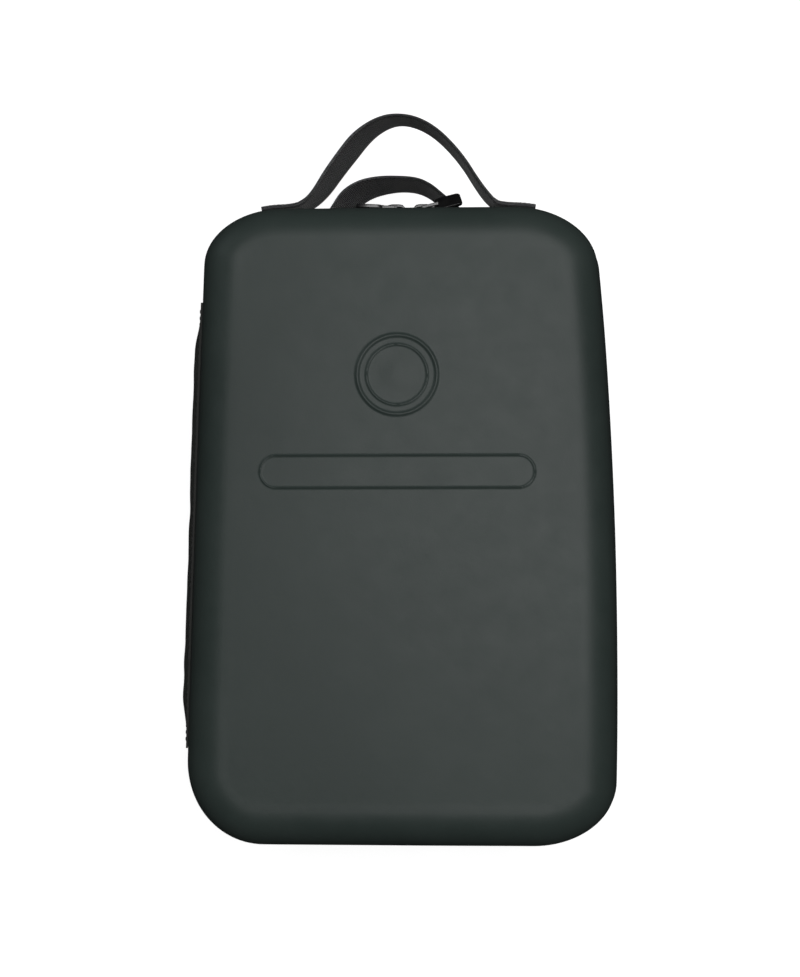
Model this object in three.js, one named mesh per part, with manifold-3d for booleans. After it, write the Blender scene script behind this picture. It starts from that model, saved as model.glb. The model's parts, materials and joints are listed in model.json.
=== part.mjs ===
// A moulded hard case that carries two bottles side by side.
// Two EVA half shells are joined by a cloth spine on the left and a two-way zip round the other sides.
// Millimetres, +Z up. The case lies on its back: X is its width, Y its length with the handles at +Y,
// and the origin is the middle of the rear shell's flat back.
import * as THREE from 'three';
import { mergeVertices } from 'three/addons/utils/BufferGeometryUtils.js';
import Module from 'manifold-3d';

const wasm = await Module();
wasm.setup();

// ---- driving dimensions ----
const LENGTH = 348;
const WIDTH = 224;
const DEPTH = 100;
const ZIP_Z = 56; // height of the zip's centreline
const BAND_HALF = 7; // half the opening between the two shell rims
const CORNER_X = 45; // a corner is a quarter of an oval, this wide
const CORNER_Y = 34; // and this long
const HEEL_Y = 48; // the corner at the spine's lower end is longer
const TAPER = 4; // each side leans in by this much from the middle to the top
const BOW = 6; // the zipped side bulges by this much in the middle
const SPINE_BOW = 0.5; // and the spine's side by this much
const DRAFT = 3.2; // how far the walls lean in before the edge's round
const EDGE_R = 20; // the round between the walls and the face
const WALL = 4;
const GAP = 0.3; // between pieces that touch
const SPINE_HALF = 122; // half the length of the cloth spine
const ZIP_END = 124; // where the zip's ends stop on the spine side

const LINING = 1;
const LINING_INSET = WALL + 1.6;
const FOAM_INSET = LINING_INSET + LINING + GAP;
const FOAM_CLEAR = 2; // from the foam's top to the zip's centreline

const BOTTLE_R = 38.5;
const BOTTLE_X = 51;
const BOTTLE_Z = DEPTH / 2;
const BOTTLE_BASE_Y = -155;
const BOTTLE_BODY = 200;
const BOTTLE_LENGTH = 306;
const NECK_R = 16;

const ZIP_INSET = 2.4; // how far the zip sits in from the outline
const CHAIN_GAP = 0.5; // half the gap between the two zip chains
const CHAIN_W = 2.6;
const CHAIN_H = 2;
const TAPE = 1;
const TAPE_LAP = 7; // how far the zip tape reaches up inside a shell
const BINDING_W = 2.4; // the tape over the lining's edge
const BINDING_H = 1.6;

const SPINE_BULGE = 5; // how far the spine cloth stands off the outline
const SPINE_THICK = 1.2;
const SPINE_LAP = 5; // how far it reaches up outside a shell

const SLIDER_LENGTH = 15;
const SLIDER_MEET = 5.5; // where the two sliders meet, along X
const PIVOT_OUT = 6; // from the zip's line to the puller's pivot
const PULLER_LENGTH = 22;
const PULLER_W = 10.5;
const PULLER_THICK = 2;
const PULLER_ARM_Z = 2.8; // from the puller's middle to each fork arm's middle
const PIN_R = 0.7;

const STRAP_W = 19;
const STRAP_THICK = 1.8;
const TAB_THICK = 2.6; // a strap's sewn end is turned under
const FOOT_X = 51; // half the distance between the front handle's feet
const TAB_END = 75; // outer end of a sewn strap end
const TAB_START = 54;
const FRONT_HANDLE_Z = 72.6;
const REAR_HANDLE_Z = 34;
const FRONT_HANDLE_RISE = 52;
const REAR_HANDLE_RISE = 28;
const REAR_SPREAD = 40; // half the distance between the rear handle's feet
const REAR_HANDLE_LEAN = 8; // degrees, away from the zip
const FOOT_WEDGE = 28; // half angle of a strap foot's wedge, in degrees

// ---- materials ----
const material = (color, roughness, metalness = 0) =>
  new THREE.MeshStandardMaterial({ color, roughness, metalness });
const SKIN = material(0x3f4644, 0.55);
const LINING_CLOTH = material(0x1b1c1e, 0.95);
const FOAM = material(0x26282b, 0.9);
const TAPE_CLOTH = material(0x141516, 0.85);
const COIL = material(0x1a1a1b, 0.35);
const WEBBING = material(0x1d1e20, 0.8);
const ZINC = material(0x17181a, 0.25, 0.9);

const rad = THREE.MathUtils.degToRad;
const group = new THREE.Group();

// ---- solids from faces ----
function geometryOf(points, triangles) {
  const geometry = new THREE.BufferGeometry();
  geometry.setAttribute('position', new THREE.Float32BufferAttribute(points.flat(), 3));
  geometry.setIndex(triangles.flat());
  return geometry;
}

function add(name, geometry, look, parent = group) {
  const mesh = new THREE.Mesh(geometry, look);
  mesh.name = name;
  parent.add(mesh);
  return mesh;
}

// A closed solid through rows of points. Each row is a closed ring, and the rows either end in caps
// or run round to the first one.
function rowsSolid(rows, closed = false) {
  const n = rows[0].length;
  const triangles = [];
  const last = closed ? rows.length : rows.length - 1;
  for (let i = 0; i < last; i++) {
    const a = i * n;
    const b = ((i + 1) % rows.length) * n;
    for (let j = 0; j < n; j++) {
      const k = (j + 1) % n;
      triangles.push([a + j, a + k, b + k], [a + j, b + k, b + j]);
    }
  }
  if (!closed) {
    const end = (rows.length - 1) * n;
    for (const [p, q, r] of capOf(rows[0])) triangles.push([r, q, p]);
    for (const [p, q, r] of capOf(rows[rows.length - 1])) triangles.push([end + p, end + q, end + r]);
  }
  return outward(geometryOf(rows.flat(), triangles));
}

// Triangles over a flat ring, turned the way the ring runs.
function capOf(ring) {
  const v = ring.map((p) => new THREE.Vector3(...p));
  const normal = new THREE.Vector3();
  for (let i = 0; i < v.length; i++) normal.add(v[i].clone().cross(v[(i + 1) % v.length]));
  const q = new THREE.Quaternion().setFromUnitVectors(normal.normalize(), new THREE.Vector3(0, 0, 1));
  const flat = v.map((p) => p.clone().applyQuaternion(q)).map((p) => new THREE.Vector2(p.x, p.y));
  return THREE.ShapeUtils.triangulateShape(flat, []);
}

// Turns every face round if the solid is inside out.
function outward(geometry) {
  const p = geometry.getAttribute('position');
  const index = geometry.getIndex();
  const [a, b, c] = [new THREE.Vector3(), new THREE.Vector3(), new THREE.Vector3()];
  let volume = 0;
  for (let i = 0; i < index.count; i += 3) {
    a.fromBufferAttribute(p, index.getX(i));
    b.fromBufferAttribute(p, index.getX(i + 1));
    c.fromBufferAttribute(p, index.getX(i + 2));
    volume += a.dot(b.cross(c));
  }
  if (volume < 0) index.array.reverse();
  return geometry;
}

// ---- booleans ----
function solidOf(geometry) {
  const bare = geometry.clone();
  bare.deleteAttribute('normal');
  bare.deleteAttribute('uv');
  const merged = mergeVertices(bare, 1e-4);
  return new wasm.Manifold(new wasm.Mesh({
    numProp: 3,
    vertProperties: new Float32Array(merged.getAttribute('position').array),
    triVerts: new Uint32Array(merged.getIndex().array),
  }));
}

function geometryFrom(solid) {
  const mesh = solid.getMesh();
  const geometry = new THREE.BufferGeometry();
  geometry.setAttribute('position', new THREE.Float32BufferAttribute(mesh.vertProperties, 3));
  geometry.setIndex(new THREE.Uint32BufferAttribute(mesh.triVerts, 1));
  return geometry;
}

const joined = (...pieces) => geometryFrom(pieces.map(solidOf).reduce((a, b) => a.add(b)));
const cut = (body, ...tools) => (
  geometryFrom(tools.map(solidOf).reduce((a, b) => a.subtract(b), solidOf(body)))
);

function box(x0, x1, y0, y1, z0, z1) {
  return new THREE.BoxGeometry(x1 - x0, y1 - y0, z1 - z0)
    .translate((x0 + x1) / 2, (y0 + y1) / 2, (z0 + z1) / 2);
}

// ---- the case's outline ----
// How far a side stands out at a length y, against a plain rectangle with oval corners.
const sideShift = (y, bow) => bow * (1 - (2 * y / LENGTH) ** 2) - TAPER * 2 * y / LENGTH;

function outlinePoint(x, y) {
  const share = THREE.MathUtils.clamp(x / (WIDTH / 2 - CORNER_X), -1, 1);
  return [x + share * sideShift(y, x > 0 ? BOW : SPINE_BOW), y];
}

// The outline, moved in by inset. It starts at the spine's lower end, goes up the left side and clockwise
// round the case to where it began, so that index ranges of it are stretches of the rim.
const CORNER_STEPS = 8;
const LEFT_YS = [-ZIP_END, -SPINE_HALF, -60, 0, 60, SPINE_HALF, ZIP_END];
const RIGHT_YS = [60, 0, -60];

function outline(inset) {
  const points = [];
  const corner = (sx, sy, from, length = CORNER_Y) => {
    for (let i = 0; i <= CORNER_STEPS; i++) {
      const a = rad(from - 90 * i / CORNER_STEPS);
      const x = sx * (WIDTH / 2 - CORNER_X) + (CORNER_X - inset) * Math.cos(a);
      const y = sy * (LENGTH / 2 - length) + (length - inset) * Math.sin(a);
      points.push(outlinePoint(x, y));
    }
  };
  for (const y of LEFT_YS) points.push(outlinePoint(-WIDTH / 2 + inset, y));
  corner(-1, 1, 180);
  corner(1, 1, 90);
  for (const y of RIGHT_YS) points.push(outlinePoint(WIDTH / 2 - inset, y));
  corner(1, -1, 0);
  corner(-1, -1, 270, HEEL_Y);
  return points;
}

const SPINE = [1, LEFT_YS.length - 2]; // the outline's indices along the spine
const ZIPPED = [LEFT_YS.length - 1, outline(0).length]; // and along the zip, round to index 0

const ring = (inset, z) => outline(inset).map(([x, y]) => [x, y, z]);

// A strip along a stretch of the rim. Its section is a list of [inset, z] corners.
function strip(section, [from, to]) {
  const lines = section.map(([inset, z]) => ring(inset, z));
  const rows = [];
  for (let i = from; i <= to; i++) rows.push(lines.map((line) => line[i % line.length]));
  return rowsSolid(rows);
}

// The same, all the way round.
function loop(section) {
  const lines = section.map(([inset, z]) => ring(inset, z));
  return rowsSolid(lines[0].map((_, i) => lines.map((line) => line[i])), true);
}

// ---- one half of the case, front (side 1) or rear (side -1) ----
const HALF = {
  front: { side: 1, depth: DEPTH - ZIP_Z - BAND_HALF },
  rear: { side: -1, depth: ZIP_Z - BAND_HALF },
};
const rimZ = (half) => ZIP_Z + half.side * BAND_HALF;
const up = (half, height) => rimZ(half) + half.side * height;

// How far the outer wall has come in at a height over the rim.
const wallInset = (half, height) => DRAFT * height / (half.depth - EDGE_R);

// The profile of a tray's surface, offset inwards from the shell's outer skin, rim first.
function profile(half, offset, steps, start = 0) {
  const radius = EDGE_R - offset;
  const straight = half.depth - EDGE_R;
  const points = [[offset + wallInset(half, start), start]];
  for (let i = 0; i <= steps; i++) {
    const a = rad(90 * i / steps);
    points.push([offset + DRAFT + radius * (1 - Math.cos(a)), straight + radius * Math.sin(a)]);
  }
  return points;
}

const traySolid = (half, outer, inner) => rowsSolid(
  [...outer.reverse(), ...inner].map(([inset, height]) => ring(inset, up(half, height))),
);

function shell(half) {
  return traySolid(half, profile(half, 0, 5), profile(half, WALL, 3));
}

function lining(half) {
  return traySolid(half, profile(half, LINING_INSET, 3), profile(half, LINING_INSET + LINING, 3));
}

// A tape sewn over the edge of the lining, inside the rim.
function rimBinding(half) {
  const [near, far] = [LINING_INSET, LINING_INSET + BINDING_W];
  const [foot, edge] = [up(half, -GAP), up(half, -BINDING_H)];
  return loop([[near, edge], [far, edge], [far, foot], [near, foot]]);
}

// A bottle's shape turned about the Y axis.
function bottle(x) {
  const shoulder = BOTTLE_BODY + 45;
  const outlinePoints = [
    [0, 0], [BOTTLE_R, 0], [BOTTLE_R, BOTTLE_BODY], [BOTTLE_R * 0.86, BOTTLE_BODY + 18],
    [NECK_R, shoulder], [NECK_R, BOTTLE_LENGTH], [0, BOTTLE_LENGTH],
  ].map(([r, y]) => new THREE.Vector2(r, y));
  return new THREE.LatheGeometry(outlinePoints, 28).translate(x, BOTTLE_BASE_Y, BOTTLE_Z);
}

function foamCradle(half) {
  const straight = half.depth - EDGE_R;
  const rows = profile(half, FOAM_INSET, 3).filter(([, height]) => height >= straight);
  const top = [FOAM_INSET + 2, FOAM_CLEAR - BAND_HALF];
  const block = rowsSolid([top, [FOAM_INSET + 2, 0], ...rows]
    .map(([inset, height]) => ring(inset, up(half, height))));
  return cut(block, bottle(-BOTTLE_X), bottle(BOTTLE_X));
}

// The zip tape comes out from under the rim and bows out to the chain.
function zipTape(half) {
  const inside = WALL + GAP;
  const bend = 0.4; // past the rim, where the tape turns outwards
  const chainSide = CHAIN_GAP + CHAIN_W + 0.5; // the tape lies flat under the chain from here
  const line = (offset) => [
    [inside + offset + wallInset(half, TAPE_LAP), TAPE_LAP],
    [inside + offset, -bend * (2 - offset / TAPE)],
    [ZIP_INSET + offset - GAP, chainSide - BAND_HALF],
    [ZIP_INSET + offset - GAP, CHAIN_GAP - BAND_HALF],
  ];
  const section = [...line(TAPE), ...line(0).reverse()];
  return strip(section.map(([inset, height]) => [inset, up(half, height)]), ZIPPED);
}

function zipChain(half) {
  const near = ZIP_Z + half.side * CHAIN_GAP;
  const far = near + half.side * CHAIN_W;
  const base = ZIP_INSET - 2 * GAP;
  const crown = base - CHAIN_H;
  const shoulder = 0.5;
  return strip([
    [base, near], [base, far], [crown + shoulder, far],
    [crown, far - half.side * shoulder], [crown, near + half.side * shoulder], [crown + shoulder, near],
  ], ZIPPED);
}

// The cloth spine bulges out between the rims; each half of its width belongs to one shell.
function spineCloth(half) {
  const line = (foot, crown, turn, bulge) => [
    [foot, SPINE_LAP], [foot, turn], [crown, bulge], [crown, GAP - BAND_HALF],
  ];
  const inner = line(-GAP, SPINE_THICK - SPINE_BULGE, -0.5, -3.5);
  const outer = line(-GAP - SPINE_THICK, -SPINE_BULGE, 0.5, -3);
  return strip([...inner, ...outer.reverse()]
    .map(([inset, height]) => [inset, up(half, height)]), SPINE);
}

function spineLining(half) {
  const lap = 6;
  const line = (inset) => [
    [inset + wallInset(half, lap), lap], [inset, 0], [inset, GAP - BAND_HALF],
  ];
  const section = [...line(WALL + GAP), ...line(WALL + GAP + LINING).reverse()];
  return strip(section.map(([inset, height]) => [inset, up(half, height)]), SPINE);
}

// ---- pieces on the top wall ----
const onTopWall = (inset) => outline(inset).filter(([, y]) => y > LENGTH / 2 - CORNER_Y);

// The top wall's y at an x, moved in by inset.
function topY(x, inset) {
  const wall = onTopWall(inset);
  const next = wall.findIndex(([wallX]) => wallX > x);
  const [[x0, y0], [x1, y1]] = [wall[next - 1], wall[next]];
  return y0 + (y1 - y0) * (x - x0) / (x1 - x0);
}

// A plate on the top wall from x0 to x1. It stands off the wall by GAP, and follows its bends and its lean.
function topPlate(half, x0, x1, height0, height1, thick, inside = false) {
  const base = inside ? WALL + GAP : -GAP;
  const face = inside ? base + thick : base - thick;
  const row = (x) => [[base, height0], [base, height1], [face, height1], [face, height0]]
    .map(([inset, height]) => [x, topY(x, inset + wallInset(half, height)), up(half, height)]);
  const bends = onTopWall(0).map(([x]) => x).filter((x) => x > x0 && x < x1);
  return rowsSolid([x0, ...bends, x1].map(row));
}

// ---- handles ----
// A strap foot is a wedge with its point at the fold, so that the handle can lie over to either side.
function handleStrap(rise, spread, flatness) {
  const steps = 24;
  const start = 1.5;
  const rows = [];
  for (let i = 0; i <= steps; i++) {
    const a = Math.PI * (1 - i / steps);
    const point = (offset) => {
      const bulge = Math.abs(Math.sin(a)) ** flatness;
      return [(spread + offset) * Math.cos(a), start + (rise - start + offset) * bulge];
    };
    const [inner, outer] = [point(-STRAP_THICK), point(0)];
    const middle = (inner[1] + outer[1]) / 2;
    const half = Math.min(STRAP_W / 2, Math.max(middle, start) * Math.tan(rad(FOOT_WEDGE)));
    rows.push([
      [inner[0], inner[1], -half], [inner[0], inner[1], half],
      [outer[0], outer[1], half], [outer[0], outer[1], -half],
    ]);
  }
  return rowsSolid(rows);
}

function addHandle(name, half, z, rise, spread, flatness, lean) {
  const frame = new THREE.Group();
  const height = half.side * (z - rimZ(half));
  frame.position.set(0, LENGTH / 2 - wallInset(half, height) + GAP, z);
  frame.rotation.x = rad(lean);
  group.add(frame);
  add(`${name}_handle_strap`, handleStrap(rise, spread, flatness), WEBBING, frame);
  const low = height - STRAP_W / 2;
  const high = height + STRAP_W / 2;
  const tabShift = FOOT_X - spread;
  for (const [where, sx] of [['left', -1], ['right', 1]]) {
    const ends = [sx * (TAB_START - tabShift), sx * (TAB_END - tabShift)].sort((a, b) => a - b);
    add(`${name}_handle_${where}_tab`, topPlate(half, ...ends, low, high, TAB_THICK), WEBBING);
  }
  const reach = TAB_END - tabShift;
  const backing = topPlate(half, -reach, reach, Math.max(low, TAPE_LAP + 1), high - 1, LINING, true);
  add(`${name}_handle_backing`, backing, LINING_CLOTH);
}

// ---- the zip's sliders and pullers ----
const RIM_Y = LENGTH / 2 - ZIP_INSET; // the zip's line along the top
const CHAIN_OUT = 2 * GAP + CHAIN_H;
const STOP_LENGTH = 5;

// Two plates hold the chains between them. A thin post joins the plates, a lip laps over the rear chain,
// and a bail stands on the outer plate.
function slider(middle) {
  const half = SLIDER_LENGTH / 2;
  const [x0, x1] = [middle - half, middle + half];
  const [halfWidth, lowerHalf, postHalf] = [5, 2.6, 0.25];
  const [plateThick, lowerThick, bite] = [1.4, 1.2, 0.6];
  const top = RIM_Y + CHAIN_OUT + 0.4;
  const under = RIM_Y - TAPE - GAP;
  const plate = box(x0, x1, top, top + plateThick, ZIP_Z - halfWidth, ZIP_Z + halfWidth);
  const lower = box(x0, x1, under - lowerThick, under, ZIP_Z - lowerHalf, ZIP_Z + lowerHalf);
  const post = box(middle - 2, middle + 2, under - bite, top + bite, ZIP_Z - postHalf, ZIP_Z + postHalf);
  const lip = box(x0, x1, top - 2, top + bite, ZIP_Z - halfWidth, ZIP_Z - halfWidth + 1);
  const [bailHalf, bailWire, bailDepth] = [5.5, 1.5, 1.2];
  const bailTop = RIM_Y + PIVOT_OUT + 3;
  const eye = box(
    middle - bailHalf + bailWire, middle + bailHalf - bailWire,
    top + plateThick + GAP, bailTop - bailWire,
    ZIP_Z - 2 * bailDepth, ZIP_Z + 2 * bailDepth,
  );
  const block = box(
    middle - bailHalf, middle + bailHalf, top + 1, bailTop, ZIP_Z - bailDepth, ZIP_Z + bailDepth,
  );
  return joined(plate, lower, post, lip, cut(block, eye));
}

// The puller is a fork round the bail and a plate with a sunk panel, made along +X from its pivot.
function puller(roll) {
  const [armEnd, plateStart, chamfer, armHalf] = [8, 7, 1.5, 0.9];
  const pinLength = 2 * (PULLER_ARM_Z + armHalf);
  const pin = new THREE.CylinderGeometry(PIN_R, PIN_R, pinLength, 8).rotateX(Math.PI / 2);
  const arm = (z) => box(-PIN_R, armEnd, -PIN_R, PIN_R, z - armHalf, z + armHalf);
  const shape = new THREE.Shape();
  const [w, r, end] = [PULLER_W / 2, 2, PULLER_LENGTH];
  shape.moveTo(plateStart, -w + chamfer);
  shape.lineTo(plateStart + 2, -w);
  shape.lineTo(end - r, -w);
  shape.absarc(end - r, -w + r, r, -Math.PI / 2, 0);
  shape.absarc(end - r, w - r, r, 0, Math.PI / 2);
  shape.lineTo(plateStart + 2, w);
  shape.lineTo(plateStart, w - chamfer);
  const extrusion = { depth: PULLER_THICK, bevelEnabled: false, curveSegments: 4 };
  const plate = new THREE.ExtrudeGeometry(shape, extrusion)
    .translate(0, 0, -PULLER_THICK / 2).rotateX(Math.PI / 2);
  const [panelStart, panelEnd, border, floor] = [end - 8.5, end - 2.5, 2, 0.5];
  const panel = (side) => {
    const [low, high] = [floor * side, PULLER_THICK * side].sort((a, b) => a - b);
    return box(panelStart, panelEnd, low, high, -w + border, w - border);
  };
  const blade = cut(plate, panel(1), panel(-1)).rotateX(roll);
  const neck = box(armEnd - 1.2, armEnd + 1, -1, 1, -PULLER_ARM_Z - armHalf, PULLER_ARM_Z + armHalf);
  return joined(pin, arm(-PULLER_ARM_Z), arm(PULLER_ARM_Z), neck, blade);
}

function addZipPull(name, middle, facing, lift, roll) {
  add(`${name}_slider`, slider(middle), ZINC);
  const pivot = new THREE.Group();
  pivot.position.set(middle, RIM_Y + PIVOT_OUT, ZIP_Z);
  pivot.rotation.set(0, facing > 0 ? 0 : Math.PI, rad(lift));
  group.add(pivot);
  add(`${name}_puller`, puller(rad(roll)), ZINC, pivot);
}

// A moulded stop over the last coils of both chains.
function zipStop(y) {
  const zipX = ZIP_INSET - WIDTH / 2 - sideShift(y, SPINE_BOW);
  const top = zipX - CHAIN_OUT - GAP;
  const half = STOP_LENGTH / 2;
  return box(top - 1, top, y - half, y + half, ZIP_Z - CHAIN_W - CHAIN_GAP, ZIP_Z - CHAIN_GAP);
}

// ---- assembly ----
for (const [name, half] of Object.entries(HALF)) {
  add(`${name}_shell`, shell(half), SKIN);
  add(`${name}_lining`, lining(half), LINING_CLOTH);
  add(`${name}_rim_binding`, rimBinding(half), TAPE_CLOTH);
  add(`${name}_foam_cradle`, foamCradle(half), FOAM);
  add(`${name}_zip_tape`, zipTape(half), TAPE_CLOTH);
  add(`${name}_zip_chain`, zipChain(half), COIL);
  add(`${name}_spine_cloth`, spineCloth(half), SKIN);
  add(`${name}_spine_lining`, spineLining(half), LINING_CLOTH);
}
addHandle('front', HALF.front, FRONT_HANDLE_Z, FRONT_HANDLE_RISE, FOOT_X, 2.2, 0);
addHandle('rear', HALF.rear, REAR_HANDLE_Z, REAR_HANDLE_RISE, REAR_SPREAD, 1.1, -REAR_HANDLE_LEAN);
addZipPull('left', SLIDER_MEET - SLIDER_LENGTH / 2 - GAP, -1, 2, 0);
addZipPull('right', SLIDER_MEET + SLIDER_LENGTH / 2 + GAP, 1, 14, 50);
const stopY = ZIP_END + STOP_LENGTH / 2 + 1;
add('zip_top_stop', zipStop(stopY), ZINC);
add('zip_bottom_stop', zipStop(-stopY), ZINC);

export default group;
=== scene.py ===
"""A moulded carry case for two bottles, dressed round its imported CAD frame.

Shapes are worked out in millimetres in the frame's axes: X across the case, Y along it towards the
handles, Z up out of its back. They become metres when a mesh is made. The case's outline, walls and
handles follow the same rules as the CAD source, with the main sizes read from the frame's boxes.
"""

import json
import math

import bmesh
import bpy
import numpy as np
from mathutils import Matrix, Vector, noise
from mathutils.geometry import delaunay_2d_cdt

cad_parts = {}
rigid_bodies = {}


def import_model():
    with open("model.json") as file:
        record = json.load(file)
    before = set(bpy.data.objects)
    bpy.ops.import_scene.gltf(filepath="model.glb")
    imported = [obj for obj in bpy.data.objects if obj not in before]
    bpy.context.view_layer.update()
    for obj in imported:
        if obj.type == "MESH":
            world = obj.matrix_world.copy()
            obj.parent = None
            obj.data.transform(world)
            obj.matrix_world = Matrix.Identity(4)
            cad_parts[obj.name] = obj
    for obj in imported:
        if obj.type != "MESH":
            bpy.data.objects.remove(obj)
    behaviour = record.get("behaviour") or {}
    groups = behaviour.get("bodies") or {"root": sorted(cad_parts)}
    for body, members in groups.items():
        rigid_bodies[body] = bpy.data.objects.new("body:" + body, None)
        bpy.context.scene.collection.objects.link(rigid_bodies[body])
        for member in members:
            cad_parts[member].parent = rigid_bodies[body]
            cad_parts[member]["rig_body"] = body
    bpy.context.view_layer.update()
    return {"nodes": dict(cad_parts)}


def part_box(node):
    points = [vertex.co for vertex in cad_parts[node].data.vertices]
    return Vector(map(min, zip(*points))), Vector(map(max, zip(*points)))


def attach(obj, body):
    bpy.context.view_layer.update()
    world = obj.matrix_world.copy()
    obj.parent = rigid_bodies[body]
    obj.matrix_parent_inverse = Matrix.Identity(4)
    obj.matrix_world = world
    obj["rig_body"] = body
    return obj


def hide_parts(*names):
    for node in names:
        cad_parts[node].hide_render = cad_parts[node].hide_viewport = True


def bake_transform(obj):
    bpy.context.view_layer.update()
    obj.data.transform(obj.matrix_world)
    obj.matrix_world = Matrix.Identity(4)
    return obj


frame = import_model()

MM = 0.001


def low(node):
    return np.array(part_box(node)[0]) / MM


def high(node):
    return np.array(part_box(node)[1]) / MM


# ---- sizes, in millimetres ----
LENGTH = high("rear_shell")[1] - low("rear_shell")[1]
DEPTH = high("front_shell")[2]
FRONT_RIM = low("front_shell")[2]
REAR_RIM = high("rear_shell")[2]
ZIP_Z = (FRONT_RIM + REAR_RIM) / 2
BAND_HALF = (FRONT_RIM - REAR_RIM) / 2

WIDTH = 224
CORNER_X = 45  # a corner is a quarter of an oval, this wide
CORNER_Y = 34  # and this long
HEEL_Y = 48  # the corner at the spine's lower end is longer
TAPER = 4  # each side leans in by this much from the middle to the top
BOW = 6  # the zipped side bulges by this much in the middle
SPINE_BOW = 0.5  # and the spine's side by this much
DRAFT = 3.2  # how far the walls lean in before the edge's round
EDGE_R = 20  # the round between the walls and the face
WALL = 4
GAP = 0.3
SPINE_HALF = high("rear_spine_cloth")[1]
ZIP_END = SPINE_HALF + 2

FRONT_CROWN = 1.2  # how far the front face swells
REAR_CROWN = 0.3
UNEVEN = 0.25  # how far the moulded skin strays from true
GROOVE_HEIGHT = 3.4  # from the rim to the stitched groove
STITCH_PITCH = 3.6
STITCH_R = 0.34

LINING_INSET = WALL + 1.6
LINING_THICK = 1
FOAM_INSET = LINING_INSET + LINING_THICK + GAP
FOAM_CLEAR = 2  # from the foam's open side to the zip's line
BOTTLE_R = 38.5
BOTTLE_X = 51
BOTTLE_BASE = -155
BOTTLE_BODY = 200
BOTTLE_LENGTH = 306
NECK_R = 16

STRAP_W = high("front_handle_left_tab")[2] - low("front_handle_left_tab")[2]
STRAP_THICK = 1.8
STRAP_STEP = 1.2  # between the points along a strap
TAB_THICK = 2.6  # the sewn ends are turned under
TAB_SHORT = 4  # a sewn end stops being flat this far short of the arch's foot
TAB_TWIST = 8  # how far the arch's twist runs on into a sewn end
TAB_FADE = 1.5  # over which a strap thins from its sewn end's thickness
LEAN_RISE = 10  # a leaning arch has its full lean from this height on
TAB_END = high("front_handle_right_tab")[0]

ZIP_INSET = 2.4  # how far the zip sits in from the outline
ZIP_Y = LENGTH / 2 - ZIP_INSET  # its line along the top
COIL_PITCH = 1.9
COIL_WIRE = 0.42
COIL_MIDDLE = 1.45  # from the zip's line to the middle of one side's loops
COIL_REACH = 1.75  # half a loop's length across the zip
COIL_RISE = 0.62  # half its height
TAPE_THICK = 0.8
CHAIN_BACK = 0.6 - ZIP_INSET  # from the outline out to the underside of the coil
PIVOT_OUT = 6  # from the zip's line to the pullers' pivots

CIRCLE = 2 * math.pi


# ---- vectors ----
def unit(vectors):
    """The same directions with a length of 1."""
    return vectors / np.maximum(np.linalg.norm(vectors, axis=-1, keepdims=True), 1e-9)


def with_z(flat, z=0.0):
    """Flat points or directions, given heights z."""
    return np.column_stack([flat, np.broadcast_to(z, len(flat))])


def smoothed(values, rounds):
    """Values along a line with their bends worn down, and both ends kept."""
    values = values.copy()
    for _ in range(rounds):
        values[1:-1] = (values[:-2] + 2 * values[1:-1] + values[2:]) / 4
    return values


# ---- meshes ----
def add_object(name, data):
    obj = bpy.data.objects.new(name, data)
    bpy.context.scene.collection.objects.link(obj)
    return obj


def finish_object(name, mesh, bm, look, sharp_angle):
    """Turns the faces outwards, and shades them smooth up to an angle in degrees."""
    bmesh.ops.recalc_face_normals(bm, faces=bm.faces)
    bm.to_mesh(mesh)
    bm.free()
    mesh.shade_smooth()
    mesh.set_sharp_from_angle(angle=math.radians(sharp_angle))
    mesh.materials.append(look)
    return add_object(name, mesh)


def grid_faces(rows, columns, close_rows=False):
    """Quads between rings of points, and each quad's corners as (row, column) before wrapping."""
    last = rows if close_rows else rows - 1
    i, j = np.meshgrid(np.arange(last), np.arange(columns), indexing="ij")
    corners = [(i, j), (i, j + 1), (i + 1, j + 1), (i + 1, j)]
    index = [(r % rows) * columns + c % columns for r, c in corners]
    places = [np.stack([r, c], -1).reshape(-1, 2) for r, c in corners]
    return np.stack(index, -1).reshape(-1, 4), np.stack(places, 1)


def make_object(name, points, faces, look, sharp_angle=40, loop_uvs=None):
    """An object from points in millimetres."""
    mesh = bpy.data.meshes.new(name)
    mesh.from_pydata((np.asarray(points) * MM).tolist(), [], faces)
    if loop_uvs is not None:
        mesh.uv_layers.new(name="cloth").data.foreach_set("uv", (loop_uvs * MM).ravel())
    bm = bmesh.new()
    bm.from_mesh(mesh)
    bmesh.ops.remove_doubles(bm, verts=bm.verts, dist=1e-7)
    return finish_object(name, mesh, bm, look, sharp_angle)


def arc_lengths(points):
    """Distance along a line of points, from its first one."""
    steps = np.linalg.norm(np.diff(points, axis=0), axis=1)
    return np.concatenate([[0], np.cumsum(steps)])


def swept(name, rows, look, closed=False, sharp_angle=40):
    """A solid through rings of points, (rows, points of a ring, xyz). It ends in two caps or runs
    round to its start. Its UVs hold distance along and round it, in metres."""
    rows = np.asarray(rows)
    count, size = rows.shape[:2]
    faces, places = grid_faces(count, size, closed)
    centre = rows.mean(1)
    along = arc_lengths(np.vstack([centre, centre[:1]]))
    middle = rows[count // 2]
    around = arc_lengths(np.vstack([middle, middle[:1]]))
    uvs = np.stack([along[places[..., 0]], around[places[..., 1]]], -1).reshape(-1, 2)
    faces = faces.tolist()
    if not closed:
        ends = [list(range(size)), list(range((count - 1) * size, count * size))]
        faces += ends
        uvs = np.vstack([uvs, np.zeros((2 * size, 2))])
    return make_object(name, rows.reshape(-1, 3), faces, look, sharp_angle, uvs)


def ride_as(obj, body, slot, *nodes):
    """Puts a finished piece on its body, and in place of its CAD nodes."""
    if isinstance(body, str):
        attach(obj, body)
    if nodes:
        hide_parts(*nodes)


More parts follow.
